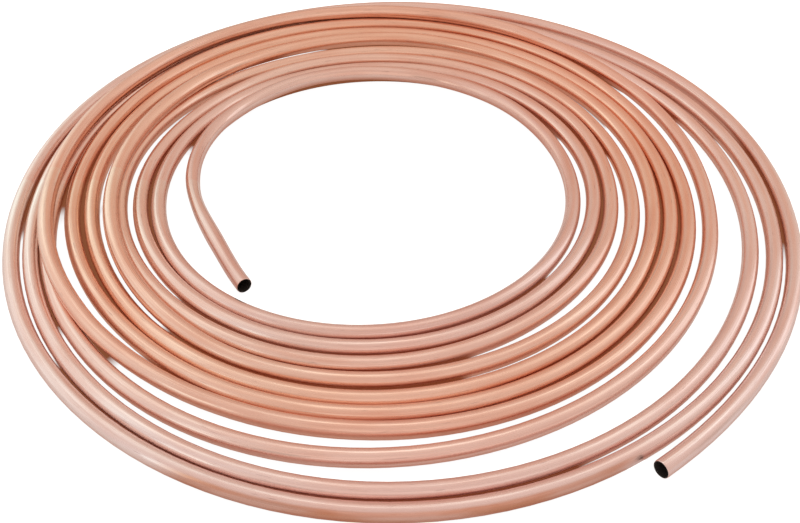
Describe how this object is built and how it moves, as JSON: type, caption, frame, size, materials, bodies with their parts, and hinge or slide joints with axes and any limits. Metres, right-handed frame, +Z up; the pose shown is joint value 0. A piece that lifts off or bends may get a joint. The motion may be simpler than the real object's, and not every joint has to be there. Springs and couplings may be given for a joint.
{
  "type": "copper tube coil",
  "caption": "Loose flat spiral coil of annealed round copper tube, open in the middle, with both ends cut square and left free.",
  "frame": {"origin": "middle of the bounding box at floor level, the coil lying flat", "axes": "+Z up, through the coil's thin way; -Y towards the side the picture was taken from; +X to the picture's right"},
  "size_m": [0.6376, 0.6316, 0.0274],
  "materials": {
    "copper": "satin annealed copper, drawn, slightly uneven"
  },
  "bodies": {
    "root": {"copper_tube": "copper"}
  },
  "joints": []
}
